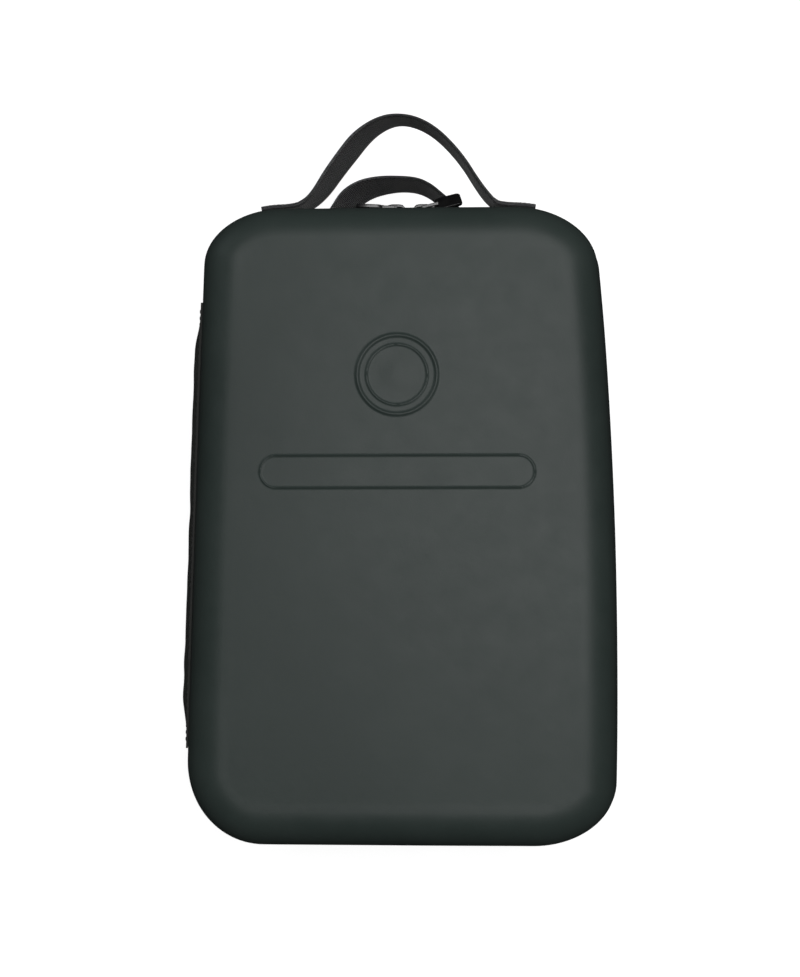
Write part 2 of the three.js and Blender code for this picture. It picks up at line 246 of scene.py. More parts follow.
# ---- the case's outline ----
def side_shift(y, bow):
    """How far a side stands out at y, against a plain rectangle with oval corners."""
    return bow * (1 - (2 * y / LENGTH) ** 2) - TAPER * 2 * y / LENGTH


def outline_points():
    """Close points along the outline, clockwise from the bottom of the spine on the left side."""
    middle_x, middle_y, heel_y = WIDTH / 2 - CORNER_X, LENGTH / 2 - CORNER_Y, LENGTH / 2 - HEEL_Y

    def side(x, start, end):
        ys = np.linspace(start, end, 80)
        return np.column_stack([np.full_like(ys, x), ys])

    def corner(sign_x, sign_y, start, length=CORNER_Y):
        a = np.radians(start - np.linspace(0, 90, 60))
        y = sign_y * (LENGTH / 2 - length) + length * np.sin(a)
        return np.column_stack([sign_x * middle_x + CORNER_X * np.cos(a), y])

    points = np.vstack([
        side(-WIDTH / 2, -ZIP_END, middle_y)[:-1],
        corner(-1, 1, 180),
        corner(1, 1, 90)[:-1],
        side(WIDTH / 2, middle_y, -middle_y)[:-1],
        corner(1, -1, 0),
        corner(-1, -1, 270, HEEL_Y)[:-1],
        side(-WIDTH / 2, -heel_y, -ZIP_END)[-8:],
    ])
    bow = np.where(points[:, 0] > 0, BOW, SPINE_BOW)
    points[:, 0] += np.clip(points[:, 0] / middle_x, -1, 1) * side_shift(points[:, 1], bow)
    return points


OUTLINE = outline_points()
OUTLINE_ARC = arc_lengths(OUTLINE)
PERIMETER = OUTLINE_ARC[-1]


def on_outline(s):
    s = np.mod(s, PERIMETER)
    return np.column_stack([np.interp(s, OUTLINE_ARC, OUTLINE[:, k]) for k in (0, 1)])


def outward(s):
    """Unit vectors out of the case at distances s along its outline."""
    reach = 1.5
    ahead = unit(on_outline(np.asarray(s) + reach) - on_outline(np.asarray(s) - reach))
    return np.column_stack([-ahead[:, 1], ahead[:, 0]])


def rim(s, out, z):
    """Points at distances s along the outline, moved outwards by out, at a height z."""
    s = np.atleast_1d(s)
    return with_z(on_outline(s) + outward(s) * np.reshape(out, (-1, 1)), z)


def spine_arc(y):
    """The distance along the outline of a point on the spine's side."""
    count = np.argmax(OUTLINE[:, 1])
    return np.interp(y, OUTLINE[:count, 1], OUTLINE_ARC[:count])


def top_drop(x):
    """How far the top wall has curved down at x, on its way into the corners."""
    top = OUTLINE[OUTLINE[:, 1] > LENGTH / 2 - CORNER_Y]
    return LENGTH / 2 - np.interp(x, top[:, 0], top[:, 1])


WALL_STEPS = 8
RING_COUNT = 372
FINE_SPACING = 0.5  # between a panel's points where there is relief
RING = np.arange(RING_COUNT) * PERIMETER / RING_COUNT
ZIP_START = spine_arc(ZIP_END)


# ---- the shells' section ----
class Half:
    """Half of the case. Heights are measured from its rim towards its face."""

    def __init__(self, name, rim_z, face_z, crown):
        self.name = name
        self.body = f"{name}_half"
        self.side = 1 if face_z > rim_z else -1
        self.rim_z = rim_z
        self.depth = abs(face_z - rim_z)
        self.straight = self.depth - EDGE_R
        self.crown = crown

    def z(self, height):
        return self.rim_z + self.side * height

    def wall_inset(self, height):
        return DRAFT * np.asarray(height) / self.straight

    def section(self, offset, start, steps):
        """(inset, height) from a start height on the wall to the edge of the face, for a surface
        that lies offset inside the outer skin."""
        radius = EDGE_R - offset
        a = np.radians(np.linspace(0, 90, steps + 1))
        heights = np.linspace(start, self.straight, WALL_STEPS + 1)[:-1]
        wall = np.column_stack([offset + self.wall_inset(heights), heights])
        turn = np.column_stack(
            [offset + DRAFT + radius * (1 - np.cos(a)), self.straight + radius * np.sin(a)]
        )
        return np.vstack([wall, turn])


FRONT = Half("front", FRONT_RIM, DEPTH, FRONT_CROWN)
REAR = Half("rear", REAR_RIM, low("rear_shell")[2], REAR_CROWN)


def inside_ring(points, ring, margin):
    """Which points lie inside a ring and at least margin from it."""
    following = np.roll(ring, -1, axis=0)
    edge = following - ring
    to = points[:, None, :] - ring[None, :, :]
    t = np.clip((to * edge).sum(-1) / (edge ** 2).sum(-1), 0, 1)
    near = np.linalg.norm(to - t[..., None] * edge, axis=-1).min(1)
    above = (ring[:, 1] > points[:, 1:]) != (following[:, 1] > points[:, 1:])
    rise = np.where(edge[:, 1] == 0, 1, edge[:, 1])
    cross = to[..., 0] < edge[:, 0] * to[..., 1] / rise
    return ((above & cross).sum(1) % 2 == 1) & (near >= margin)


def panel(ring, spacing, height_at, fine_boxes=()):
    """A sheet of triangles filling a ring, with its points closer together inside fine boxes of
    (x, y, half width, half height). height_at gives a height for each point."""
    reach = np.abs(ring).max(0)
    xs, ys = (np.arange(-r, r, spacing) for r in reach)
    loose = np.stack(np.meshgrid(xs, ys), -1).reshape(-1, 2)
    loose = loose[inside_ring(loose, ring, spacing * 0.6)]
    groups = []
    for x, y, half_x, half_y in fine_boxes:
        away = np.maximum(np.abs(loose[:, 0] - x) - half_x, np.abs(loose[:, 1] - y) - half_y)
        loose = loose[away > spacing * 0.4]
        fine = [
            np.arange(middle - half, middle + half + FINE_SPACING / 2, FINE_SPACING)
            for middle, half in ((x, half_x), (y, half_y))
        ]
        groups.append(np.stack(np.meshgrid(*fine), -1).reshape(-1, 2))
    flat = np.vstack([ring, loose, *groups])
    made = delaunay_2d_cdt([Vector(p) for p in flat], [], [list(range(len(ring)))], 1, 1e-5)
    flat = np.array([tuple(p) for p in made[0]])
    return np.column_stack([flat, height_at(flat)]), [list(f) for f in made[2]]


def edged_panel(row, spacing, height_at, fine_boxes=()):
    """A panel over a level ring of points, that stays at the ring's height along its edge."""
    points, faces = panel(row[:, :2], spacing, height_at, fine_boxes)
    inner = inside_ring(points[:, :2], row[:, :2], 0.01)
    points[~inner, 2] = row[0, 2]
    return points, faces


def flat_panel(row, spacing):
    """A flat panel over a level ring of points."""
    return panel(row[:, :2], spacing, lambda points: np.full(len(points), row[0, 2]))


def rings(half, section):
    """The rings that (inset, height) points of a section make round the case."""
    return np.array([rim(RING, -inset, half.z(height)) for inset, height in section])


def walled(rows, *panels):
    """Rings joined into a wall, and the panels that close it, as (points, faces)."""
    faces, _ = grid_faces(len(rows), RING_COUNT)
    return joined((rows.reshape(-1, 3), faces.tolist()), *panels)


def joined(*parts):
    """Several (points, faces) as one."""
    points, faces, start = [], [], 0
    for part_points, part_faces in parts:
        points.append(part_points)
        faces += [[v + start for v in face] for face in part_faces]
        start += len(part_points)
    return np.vstack(points), faces


# ---- raised lines on the front face: a plain medallion and a blank name plate ----
MEDALLION_Y = LENGTH * 0.22
MEDALLION_R = 21
PLATE_Y = LENGTH * 0.073
PLATE_HALF_X = 72
PLATE_HALF_Y = 8.5
RELIEF = 0.9  # how far they stand up


def rounded_box(points, y, half_x, half_y, radius):
    """Distance outside a rounded rectangle centred on x 0, negative inside it."""
    corner = np.abs(points - [0, y]) - [half_x - radius, half_y - radius]
    outside = np.linalg.norm(np.maximum(corner, 0), axis=1)
    return outside + np.minimum(corner.max(1), 0) - radius


def ridge(distance, half_width):
    """A rounded ridge, 1 along distance 0 and nothing beyond its half width."""
    return np.cos(np.clip(distance / half_width, -1, 1) * math.pi / 2) ** 2


def relief_height(points):
    disc = rounded_box(points, MEDALLION_Y, MEDALLION_R, MEDALLION_R, MEDALLION_R)
    plate = rounded_box(points, PLATE_Y, PLATE_HALF_X, PLATE_HALF_Y, PLATE_HALF_Y)
    lines = [ridge(disc, 1.7), 0.7 * ridge(disc + 5, 1.1), 0.6 * ridge(plate, 0.9)]
    dome = 0.6 * ridge(disc + MEDALLION_R, 12)
    return RELIEF * (np.maximum.reduce(lines) + dome)


RELIEF_BOXES = [
    (0, MEDALLION_Y, MEDALLION_R + 3, MEDALLION_R + 3),
    (0, PLATE_Y, PLATE_HALF_X + 3, PLATE_HALF_Y + 2.5),
]


# ---- the moulded shells ----
def shell_section(half):
    """(inset, height) of a shell, from the outer face's edge round the rim to the inner face's."""
    rim_r = 1.3
    groove_depth, groove_half = 0.5, 0.8
    squeeze = (half.depth - half.crown) / half.depth
    outer = half.section(0, 7.5, 12)[::-1] * [1, squeeze]
    low_heights = np.linspace(6.8, rim_r, 14)
    groove = groove_depth * np.exp(-(((low_heights - GROOVE_HEIGHT) / groove_half) ** 2))
    low_wall = np.column_stack([half.wall_inset(low_heights) + groove, low_heights])
    a = np.radians([25, 50, 75, 90])
    edge = np.column_stack([rim_r * (1 - np.cos(a)), rim_r * (1 - np.sin(a))])
    inner = half.section(WALL, rim_r, 6)
    turn = np.array([[WALL - 1, 0], [WALL - 0.3, 0.3]])
    return np.vstack([outer, low_wall, edge, turn, inner])


def face_height(half, ring):
    """The face's height at points, swelling from its edge to its middle."""
    reach = np.abs(ring).max(0)

    def height_at(points):
        u, v = (np.clip(np.abs(points[:, k]) / reach[k], 0, 1) for k in (0, 1))
        swell = (1 - u ** 2.6) * (1 - v ** 2.6)
        height = half.depth - half.crown * (1 - swell)
        if half is FRONT:
            height = height + relief_height(points) - RELIEF * 0.2
        return half.z(height)

    return height_at


def make_uneven(obj, amount, size):
    """Lets a surface stray smoothly from true, by up to amount over lengths of about size."""
    mesh = obj.data
    for vertex, normal in zip(mesh.vertices, [v.normal.copy() for v in mesh.vertices]):
        vertex.co += normal * (amount * MM * noise.noise(vertex.co / (size * MM)))
    mesh.update()


def shell(half, look):
    rows = rings(half, shell_section(half))
    fine = RELIEF_BOXES if half is FRONT else ()
    face = edged_panel(rows[0], 3, face_height(half, rows[0][:, :2]), fine)
    points, faces = walled(rows, face, flat_panel(rows[-1], 12))
    obj = make_object(f"{half.name}_shell_skin", points, faces, look, sharp_angle=55)
    make_uneven(obj, UNEVEN, 70)
    ride_as(obj, half.body, "skin", f"{half.name}_shell")


# ---- stitches ----
def stitches(name, places, along, up, look, length=2.5, radius=STITCH_R):
    """One short rounded stitch at each place, lying along a direction and standing up by a little."""
    round_count = 6
    angles = (np.arange(round_count) * CIRCLE / round_count)[:, None]
    profile = [(-0.5, 0.25), (-0.34, 0.8), (0, 1), (0.34, 0.8), (0.5, 0.25)]
    last = (len(profile) - 1) * round_count
    points, faces = [], []
    quads, _ = grid_faces(len(profile), round_count)
    for place, direction, normal in zip(places, along, up):
        spokes = np.cos(angles) * np.cross(direction, normal) + np.sin(angles) * normal
        start = len(points)
        for t, r in profile:
            middle = place + direction * (t * length) - normal * radius * (1 - r) * 0.8
            points += list(middle + spokes * (radius * r))
        faces += (quads + start).tolist()
        faces += [[start + first + k for k in range(round_count)] for first in (0, last)]
    return make_object(name, points, faces, look, sharp_angle=80)


def rim_stitches(kind, half, start, end, sunk, height, slot, look):
    """A row of stitches along a stretch of a shell's wall, sunk into it or, below 0, off it."""
    count = int((end - start) / STITCH_PITCH)
    s = start + (np.arange(count) + 0.5) * (end - start) / count
    out = -(half.wall_inset(height) + sunk)
    places = rim(s, out, half.z(height))
    normals = with_z(outward(s))
    along = np.cross(normals, [0, 0, 1])
    row = stitches(f"{half.name}_{kind}_stitches", places, along, normals, look)
    ride_as(row, half.body, slot)


# ---- the spine: a cloth outside and a lining inside, bulging between the rims ----
SPINE_CLOTH = 1.1
SPINE_LINING = 0.9
SPINE_LAP = 6
SPINE_FADE = 26  # the bulge dies away over this length at each end
SPINE_BULGE = 3.8


def spine_sheet(name, bulge_out, lap_out, thick, wrinkle, slot, node, look):
    """A sheet from the front shell's wall to the rear one's. lap_out is how far it lies off the
    outline on the walls, and bulge_out between them."""
    ys = np.linspace(-SPINE_HALF, SPINE_HALF, 121)
    s = spine_arc(ys)
    fade = np.clip((SPINE_HALF - np.abs(ys)) / SPINE_FADE, 0, 1)
    fade = fade * fade * (3 - 2 * fade)
    across = np.linspace(-1, 1, 33)
    half_height = BAND_HALF + SPINE_LAP
    zs = ZIP_Z + across * half_height
    flat_part = BAND_HALF / half_height
    arch = np.cos(np.clip(across / (flat_part * 1.15), -1, 1) * math.pi / 2) ** 1.3
    lean = np.maximum(np.abs(across) * half_height - BAND_HALF, 0)
    lean = np.where(across > 0, FRONT.wall_inset(lean), REAR.wall_inset(lean))
    skins = []
    for layer in (1, 0):
        folds = np.array([
            [noise.noise(Vector((y / 13, c * 0.8, 3.1 * bulge_out))) for c in across] for y in ys
        ])
        bulge = (bulge_out - lap_out + wrinkle * folds) * arch * fade[:, None]
        skins.append(lap_out + bulge - lean + layer * thick)
    rows = []
    for place, outer_row, inner_row in zip(s, *skins):
        places = np.full(len(across), place)
        rows.append(np.vstack([rim(places, outer_row, zs), rim(places, inner_row, zs)[::-1]]))
    obj = swept(name, rows, look, sharp_angle=50)
    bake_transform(obj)
    ride_as(obj, None, slot, f"front_{node}", f"rear_{node}")


# ---- zips ----
def strip(name, half, places, outs, heights, look, **options):
    """A strip that keeps one section, given by outs and heights, along places on the outline."""
    rows = []
    for s in places:
        flat = rim(np.full(len(outs), s), outs, 0)[:, :2]
        rows.append(with_z(flat, half.z(heights)))
    return swept(name, rows, look, **options)


def zip_tape(half, look):
    """The tape comes out from under the rim and bows out to the chain."""
    base = [(-WALL - 0.4 - half.wall_inset(6.5), 6.5), (-WALL - 0.4, 0.4), (-WALL, -0.9),
            (-WALL + 0.8, -2.6), (-ZIP_INSET - 0.2, -4.2), (-ZIP_INSET - 0.1, 0.5 - BAND_HALF)]
    line = np.array(base)
    steps = np.linspace(0, len(line) - 1, 19)
    line = np.column_stack([np.interp(steps, range(len(line)), line[:, k]) for k in (0, 1)])
    line = smoothed(line, 3)
    turn = np.gradient(line, axis=0)
    normal = unit(np.column_stack([-turn[:, 1], turn[:, 0]]))
    under = line - normal * TAPE_THICK * np.sign(normal[-1, 0])
    outs, heights = np.vstack([line, under[::-1]]).T
    places = np.linspace(ZIP_START, PERIMETER, 330)
    obj = strip(f"{half.name}_tape_woven", half, places, outs, heights, look, sharp_angle=60)
    ride_as(obj, half.body, "tape", f"{half.name}_zip_tape")


def zip_coil(half, look):
    """One side of the zip's coil: a spiral of nylon whose loops reach between the other side's."""
    short = 4  # the coil stops this far inside the tape's ends
    turns = int((PERIMETER - ZIP_START - 2 * short) / COIL_PITCH)
    per_turn = 9
    t = np.arange(turns * per_turn + 1) / per_turn
    phase = 0 if half.side > 0 else 0.5
    s = ZIP_START + short + (t + phase) * COIL_PITCH
    a = t * CIRCLE
    z = ZIP_Z + half.side * (COIL_MIDDLE + COIL_REACH * np.cos(a))
    out = CHAIN_BACK + COIL_WIRE + COIL_RISE * (1 + np.sin(a))
    centre = rim(s, out, z)
    ahead = unit(np.gradient(centre, axis=0))
    side = unit(np.cross(ahead, with_z(outward(s))))
    other = np.cross(side, ahead)
    angles = (np.arange(5) * CIRCLE / 5)[:, None]
    spokes = np.cos(angles) * side[:, None] + np.sin(angles) * other[:, None]
    rows = centre[:, None] + COIL_WIRE * spokes
    obj = swept(f"{half.name}_coil", rows, look, sharp_angle=80)
    ride_as(obj, half.body, "coil", f"{half.name}_zip_chain")


# ---- lining, its bound edge and the foam ----
def lining(half, look):
    outer = half.section(LINING_INSET, 0, 8)
    inner = half.section(LINING_INSET + LINING_THICK, 0, 8)[::-1]
    rows = rings(half, np.vstack([inner, outer]))
    points, faces = walled(rows, flat_panel(rows[0], 9), flat_panel(rows[-1], 9))
    obj = make_object(f"{half.name}_lining_cloth", points, faces, look, sharp_angle=60)
    ride_as(obj, half.body, "lining", f"{half.name}_lining")


def rim_binding(half, look):
    """A folded tape over the lining's edge."""
    half_wide, half_high = 1.15, 0.65
    a = np.arange(12) * CIRCLE / 12
    across, up = (np.sign(v) * np.abs(v) ** 0.7 for v in (np.cos(a), np.sin(a)))
    ring_inset = LINING_INSET + half_wide + 0.1 + half_wide * across
    ring_height = half_high * up - half_high - 0.3
    obj = strip(f"{half.name}_binding", half, RING, -ring_inset, ring_height, look, closed=True)
    ride_as(obj, half.body, "tape", f"{half.name}_rim_binding")


def bottle_radius(y):
    """A bottle's radius at a distance from its base."""
    shoulder = BOTTLE_BODY + 45
    ys = [0, BOTTLE_BODY, BOTTLE_BODY + 9, BOTTLE_BODY + 18, shoulder - 12, shoulder, BOTTLE_LENGTH]
    rs = [BOTTLE_R, BOTTLE_R, 0.965 * BOTTLE_R, 0.86 * BOTTLE_R, 19.5, NECK_R, NECK_R]
    return np.interp(y, ys, rs)


def foam_cradle(half, look):
    """A block of foam with the two bottles' hollows pressed into its open side. The open side is a
    height field, so its edges roll over into the hollows."""
    top = FOAM_CLEAR - BAND_HALF
    inset = FOAM_INSET + 2
    section = half.section(FOAM_INSET, half.straight, 6)[WALL_STEPS:]
    rolled_edge = [[inset + 0.8, top], [inset - 0.4, top + 1.2], [inset - 0.8, top + 4]]
    rows = rings(half, np.vstack([rolled_edge, section]))
    roll = 2.2

    def open_side(points):
        level = half.side * half.z(top)
        surface = np.full(len(points), level)
        for x in (-BOTTLE_X, BOTTLE_X):
            y = points[:, 1] - BOTTLE_BASE
            radius = bottle_radius(np.clip(y, 0, BOTTLE_LENGTH))
            reach = np.abs(points[:, 0] - x)
            dip = np.sqrt(np.maximum(radius ** 2 - reach ** 2, 0))
            depth = np.maximum(half.side * DEPTH / 2 + dip - level, 0)
            in_length = np.clip(np.minimum(y, BOTTLE_LENGTH - y) / roll + 1, 0, 1)
            hollow = level + depth * np.sqrt(in_length)
            surface = np.where(reach < radius, np.maximum(surface, hollow), surface)
        return half.side * surface

    points, faces = walled(rows, edged_panel(rows[0], 2.2, open_side), flat_panel(rows[-1], 14))
    obj = make_object(f"{half.name}_foam", points, faces, look, sharp_angle=50)
    ride_as(obj, half.body, "foam", f"{half.name}_foam_cradle")


# ---- webbing ----
def strap_ring(width, thick):
    """Corners of a flat strap's section, (across, through), with rounded edges."""
    flat = np.linspace(-width / 2 + thick / 2, width / 2 - thick / 2, 9)
    a = np.radians([60, 30, 0, -30, -60])
    edge = np.column_stack([thick / 2 * np.cos(a), thick / 2 * np.sin(a)])
    top = np.column_stack([flat, np.full(9, thick / 2)])
    return np.vstack([top, edge + [flat[-1], 0], -top, -edge + [flat[0], 0]])


def rounded_line(corners, rounds):
    """Cuts a line's corners a few times, which bends it smoothly and leaves long straights alone."""
    line = np.asarray(corners, float)
    for _ in range(rounds):
        near = line[:-1] * 0.75 + line[1:] * 0.25
        far = line[:-1] * 0.25 + line[1:] * 0.75
        between = np.stack([near, far], 1).reshape(-1, line.shape[1])
        line = np.vstack([line[:1], between, line[-1:]])
    return line


def even_line(line, spacing):
    """The same line with its points evenly apart."""
    arc = arc_lengths(line)
    places = np.linspace(0, arc[-1], int(arc[-1] / spacing) + 1)
    return np.column_stack([np.interp(places, arc, line[:, k]) for k in range(line.shape[1])])


class Handle:
    """A webbing handle and its two sewn ends, in one length.

    The line lies in a plane square to the strap's width, from one end over the arch to the other.
    arch holds (x, height) corners that the strap's middle line rounds off. twists are (share along
    the arch, degrees): a positive one turns the strap's front edge outwards."""

    def __init__(self, half, z, lean, feet, tab_end, arch, twists):
        self.half = half
        self.height = half.side * (z - half.rim_z)
        self.z = z
        self.lean = math.radians(lean)
        self.feet = feet
        self.tab_end = tab_end
        self.arch = arch
        self.twists = twists
        self.base_y = LENGTH / 2 - half.wall_inset(self.height) + GAP

    def line(self):
        low_y = TAB_THICK / 2
        foot_y = low_y + 0.3

        def tab(start, end):
            xs = np.linspace(start, end, 5)
            return np.column_stack([xs, low_y - top_drop(xs)])

        left, right = self.feet
        corners = np.vstack([
            tab(-self.tab_end, left - TAB_SHORT), [left, foot_y], self.arch,
            [right, foot_y], tab(right + TAB_SHORT, self.tab_end),
        ])
        return even_line(rounded_line(corners, 4), STRAP_STEP)

    def frames(self):
        """Centre, direction along, direction across and direction outwards, for each point."""
        line = self.line()
        arc = arc_lengths(line)
        ahead = unit(np.gradient(line, axis=0))
        out = np.column_stack([-ahead[:, 1], ahead[:, 0]])
        draft = math.degrees(math.atan(DRAFT / self.half.straight)) * self.half.side
        arch_start = arc[np.argmax(line[:, 0] > self.feet[0])]
        arch_end = arc[np.argmax(line[:, 0] > self.feet[1])]
        shares, turns = np.array(self.twists).T
        on_arch = arch_start + (arch_end - arch_start) * shares
        places = [0, arch_start - TAB_TWIST, *on_arch, arch_end + TAB_TWIST, arc[-1]]
        twist = np.radians(np.interp(arc, places, [-draft, -draft, *turns, -draft, -draft]))
        twist = smoothed(twist, 12)
        lean = self.lean * np.clip((line[:, 1] - TAB_THICK) / LEAN_RISE, 0, 1)
        up = np.array([0, 0, 1.0])
        c, s = np.cos(twist)[:, None], np.sin(twist)[:, None]
        across = up * c + with_z(out) * s
        out = with_z(out) * c - up * s

        def leant(v):
            c, s = np.cos(lean), np.sin(lean)
            return np.column_stack([v[:, 0], v[:, 1] * c - v[:, 2] * s, v[:, 1] * s + v[:, 2] * c])

        centre = leant(with_z(line)) + [0, self.base_y, self.z]
        return centre, leant(with_z(ahead)), leant(across), leant(out)

    def make(self, look):
        centre, _, across, out = self.frames()
        ring = strap_ring(STRAP_W, STRAP_THICK)
        on_tab = np.clip((self.base_y + TAB_THICK + 1 - centre[:, 1]) / TAB_FADE, 0, 1)
        swell = 1 + (TAB_THICK / STRAP_THICK - 1) * on_tab
        rows = (
            centre[:, None]
            + across[:, None] * ring[None, :, :1]
            + out[:, None] * ring[None, :, 1:] * swell[:, None, None]
        )
        name = self.half.name
        obj = swept(f"{name}_handle_webbing", rows, look, sharp_angle=50)
        nodes = ("strap", "left_tab", "right_tab")
        ride_as(obj, None, "webbing", *[f"{name}_handle_{n}" for n in nodes])
        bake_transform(obj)

    def stitching(self, look):
        """A sewn box with a cross in it on each of the handle's two ends."""
        centre, ahead, across, out = self.frames()
        arc = arc_lengths(centre)
        tab_length = self.tab_end + self.feet[0] - TAB_SHORT
        box_length, box_width = tab_length - 3, STRAP_W - 5
        corners = np.array([[0, -1], [1, -1], [1, 1], [0, 1], [0, -1], [1, 1], [1, -1], [0, 1]])
        route = even_line(corners * [box_length, box_width / 2] + [2, 0], 2.6)
        turn = unit(np.gradient(route, axis=0))
        places, along, up = [], [], []
        for mirrored in (False, True):
            for (run, offset), (du, dv) in zip(route, turn):
                k = np.searchsorted(arc, arc[-1] - run if mirrored else run)
                k = min(k, len(arc) - 1)
                sign = -1 if mirrored else 1
                places.append(centre[k] + across[k] * offset + out[k] * (TAB_THICK / 2))
                along.append(unit(ahead[k] * du * sign + across[k] * dv))
                up.append(out[k])
        name = f"{self.half.name}_handle_stitches"
        obj = stitches(name, places, along, up, look, length=2.0, radius=0.3)
        ride_as(obj, self.half.body, "webbing")


FRONT_HANDLE = Handle(
    FRONT, z=72.6, lean=0, feet=(-53, 53), tab_end=TAB_END,
    arch=[(-45, 7), (-33, 25), (-18, 44), (-1, 52), (17, 46.5), (33.5, 30), (45.5, 10)],
    twists=[(0.03, 6), (0.12, 17), (0.3, 20), (0.5, -3), (0.68, -1), (0.85, 0), (0.97, 1)],
)
REAR_HANDLE = Handle(
    REAR, z=34, lean=-8, feet=(-43, 41), tab_end=high("rear_handle_right_tab")[0],
    arch=[(-37, 7), (-30, 17.5), (-21, 24), (-8, 27), (7, 27), (16, 23.5), (24, 16.5), (34, 7)],
    twists=[(0.05, 20), (0.18, 30), (0.35, 12), (0.5, 2), (0.8, 0), (0.95, 3)],
)


# ---- cast zip pulls, with distances out from the zip's line ----
SLIDER_TOP = (3.0, 4.4)
SLIDER_DOME = (4.2, 5.1)
SLIDER_LIPS = (1.5, 3.4)
SLIDER_POST = (-1.8, 3.4)
SLIDER_BACK = (-2.5, -1.3)
BAIL_HALF = 1.2  # half its width across the zip
BAIL_BELOW = 0.7  # from the CAD slider's top to the bail's

PULLER_LENGTH = 22
PULLER_HALF_W = 5.25
PULLER_HALF_T = 1
PULLER_ARM_Z = 2.8  # from the puller's middle to each fork arm's
PULLER_ARM_HALF = 0.85
PULLER_FORK = 3.6  # half the fork's width at its bridge
PIN_R = 0.7
CAST_ROUND = {"segments": 3, "affect": "EDGES", "profile": 0.6, "clamp_overlap": True}


def cast_block(bm, outline, depth_from, depth_to, axis, bevel):
    """Adds a bevelled slab to bm: a flat outline drawn out along the y or the z axis."""
    def place(u, v, w):
        return (u, w, v) if axis == "y" else (u, v, w)

    bottom = [bm.verts.new(place(u, v, depth_from)) for u, v in outline]
    top = [bm.verts.new(place(u, v, depth_to)) for u, v in outline]
    faces = [bm.faces.new(bottom), bm.faces.new(top)]
    for k in range(len(outline)):
        n = (k + 1) % len(outline)
        faces.append(bm.faces.new([bottom[k], bottom[n], top[n], top[k]]))
    bmesh.ops.recalc_face_normals(bm, faces=faces)
    edges = list({e for f in faces for e in f.edges})
    if bevel:
        bmesh.ops.bevel(bm, geom=edges, offset=bevel, **CAST_ROUND)


def from_bmesh(name, bm, matrix, look):
    bmesh.ops.transform(bm, matrix=matrix, verts=bm.verts)
    bmesh.ops.scale(bm, vec=(MM,) * 3, verts=bm.verts)
    return finish_object(name, bpy.data.meshes.new(name), bm, look, sharp_angle=50)


def rectangle(x0, x1, half_height):
    return [(x0, -half_height), (x1, -half_height), (x1, half_height), (x0, half_height)]


def both_sides(edge):
    """A closed outline from its edge on one side, mirrored in the first axis."""
    return [(x, -y) for x, y in edge] + edge[::-1]


def cast_matrix(middle, out, facing, lift=0):
    """Places a casting on the zip. facing turns it to the left or right, and lift is in degrees."""
    turn = Matrix.Identity(4) if facing > 0 else Matrix.Rotation(math.pi, 4, "Y")
    place = Matrix.Translation((middle, ZIP_Y + out, ZIP_Z))
    return place @ turn @ Matrix.Rotation(math.radians(lift), 4, "Z")


def slider_body(name, node, middle, facing, look):
    """A waisted top plate with lips over the chain, a lower plate, and an arched bail."""
    half = middle - low(node)[0]
    bm = bmesh.new()
    edge = [
        (-half, 3.6), (-half * 0.3, 4.2), (half * 0.45, 5), (half * 0.9, 4.6), (half, 3.4),
    ]
    waist = both_sides(edge)
    cast_block(bm, waist, *SLIDER_TOP, "y", 0.45)
    cast_block(bm, rectangle(-3.4, 3.4, 2), *SLIDER_DOME, "y", 0.4)
    for side in (-1, 1):
        lip = [(x, z * 0.98) for x, z in waist if z * side > 0]
        inner = [(x, z * 0.78) for x, z in reversed(lip)]
        cast_block(bm, lip + inner, *SLIDER_LIPS, "y", 0.25)
    cast_block(bm, rectangle(-half * 0.9, half * 0.9, 2.6), *SLIDER_BACK, "y", 0.35)
    cast_block(bm, rectangle(-2, 2, 0.25), *SLIDER_POST, "y", 0)
    crown = high(node)[1] - ZIP_Y - BAIL_BELOW
    rise = [(5.5, 4), (5.3, 6.6), (4, crown - 0.4), (2, crown)]
    fall = [(3, crown - 1.7), (3.9, 6.3), (4, 4)]
    left_rise, left_fall = ([(-x, y) for x, y in side] for side in (rise, fall))
    arch = left_rise + rise[::-1] + fall[::-1] + left_fall
    cast_block(bm, arch, -BAIL_HALF, BAIL_HALF, "z", 0.3)
    obj = from_bmesh(f"{name}_slider_cast", bm, cast_matrix(middle, 0, facing), look)
    ride_as(obj, f"{name}_slider", "zinc", node)


